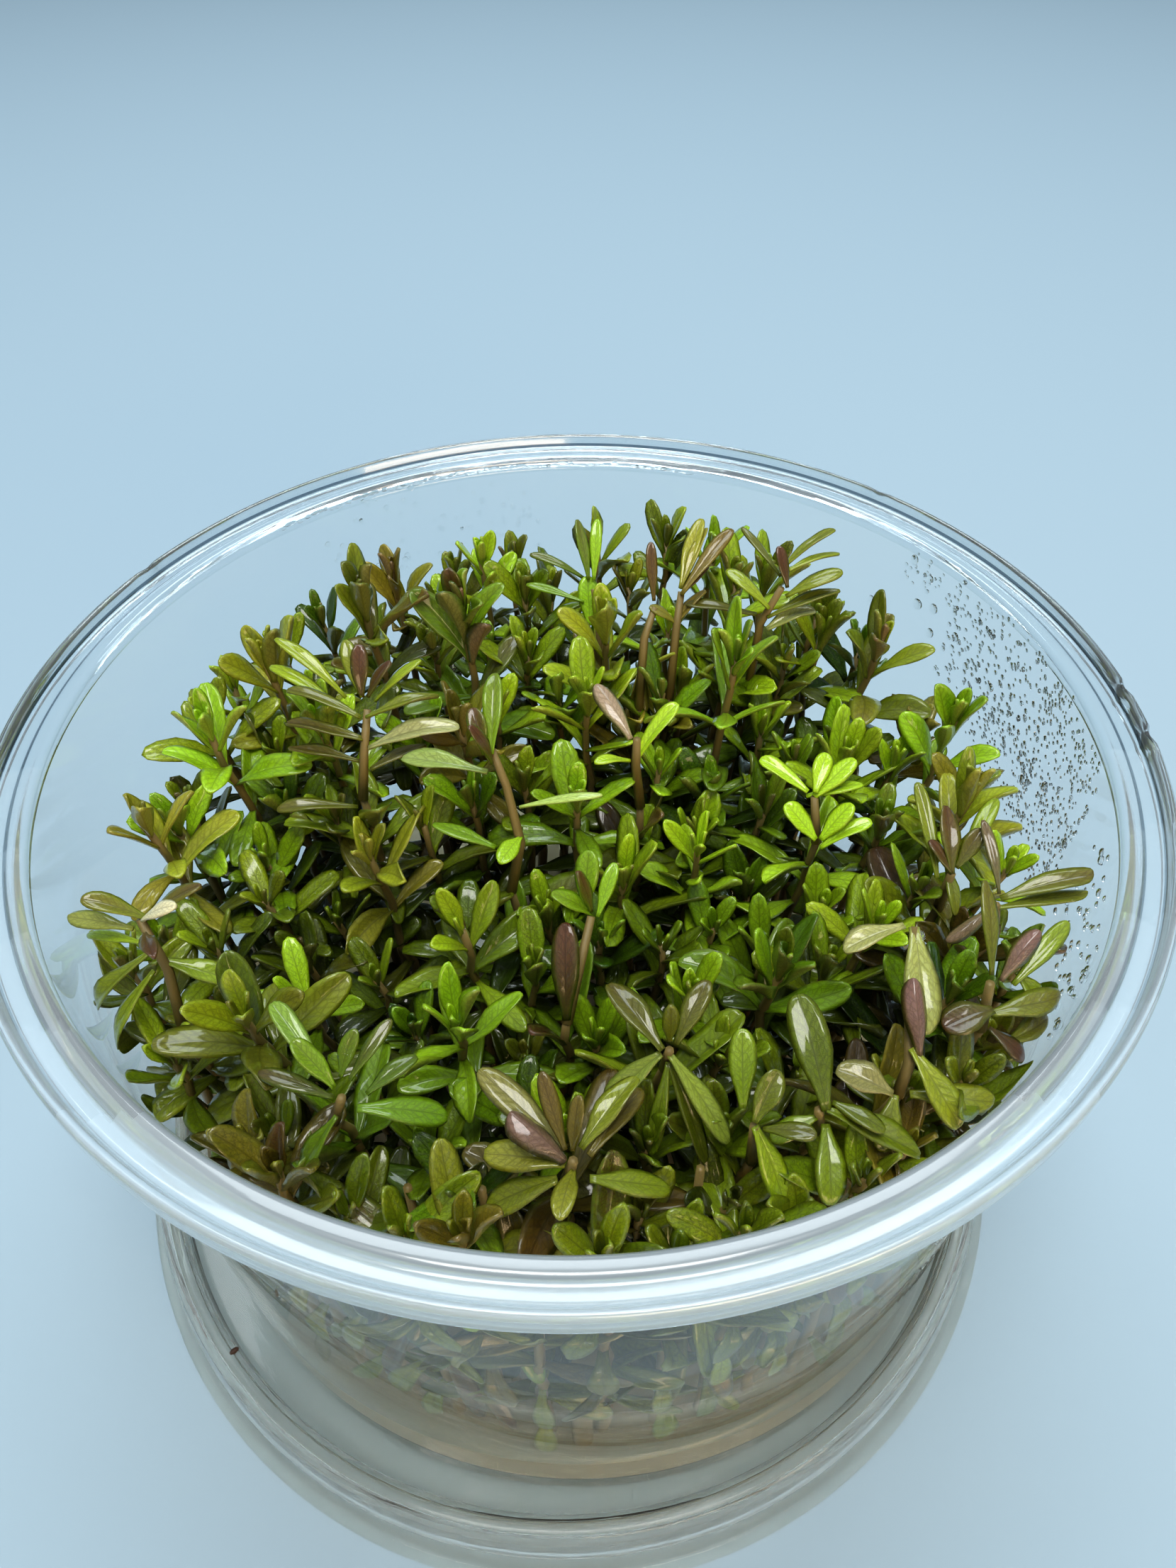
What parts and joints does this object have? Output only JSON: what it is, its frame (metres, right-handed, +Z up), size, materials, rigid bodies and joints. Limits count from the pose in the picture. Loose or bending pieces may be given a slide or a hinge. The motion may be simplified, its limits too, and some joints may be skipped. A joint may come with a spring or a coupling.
{
  "type": "rotala plant in a clear culture cup",
  "caption": "Dense clump of leafy rotala shoots rooted in nutrient gel in a round clear plastic cup with a flanged lip, standing on its own clear lid.",
  "frame": {"origin": "centre of the lid on the surface that it stands on", "axes": "+Z up, -Y towards the viewer of the picture, +X to the right of the picture"},
  "size_m": [0.096, 0.096, 0.0656],
  "materials": {
    "lid_plastic": "clear gloss",
    "cup_plastic": "clear gloss",
    "nutrient_gel": "clear gloss",
    "olive_foliage": "satin",
    "green_foliage": "satin",
    "bronze_foliage": "satin",
    "condensation": "clear gloss"
  },
  "bodies": {
    "root": {"lid": "lid_plastic", "cup": "cup_plastic", "gel": "nutrient_gel", "shoot_01": "green_foliage", "shoot_02": "bronze_foliage", "shoot_03": "olive_foliage", "shoot_04": "green_foliage", "shoot_05": "bronze_foliage", "shoot_06": "olive_foliage", "shoot_07": "green_foliage", "shoot_08": "bronze_foliage", "shoot_09": "olive_foliage", "shoot_10": "green_foliage", "shoot_11": "bronze_foliage", "shoot_12": "olive_foliage", "shoot_13": "green_foliage", "shoot_14": "bronze_foliage", "shoot_15": "olive_foliage", "shoot_16": "green_foliage", "shoot_17": "bronze_foliage", "shoot_18": "olive_foliage", "shoot_19": "green_foliage", "shoot_20": "bronze_foliage", "shoot_21": "olive_foliage", "shoot_22": "green_foliage", "shoot_23": "bronze_foliage", "shoot_24": "olive_foliage", "shoot_25": "green_foliage", "shoot_26": "bronze_foliage", "shoot_27": "olive_foliage", "shoot_28": "green_foliage", "shoot_29": "bronze_foliage", "shoot_30": "olive_foliage", "shoot_31": "green_foliage", "shoot_32": "bronze_foliage", "shoot_33": "olive_foliage", "shoot_34": "green_foliage"}
  },
  "joints": []
}
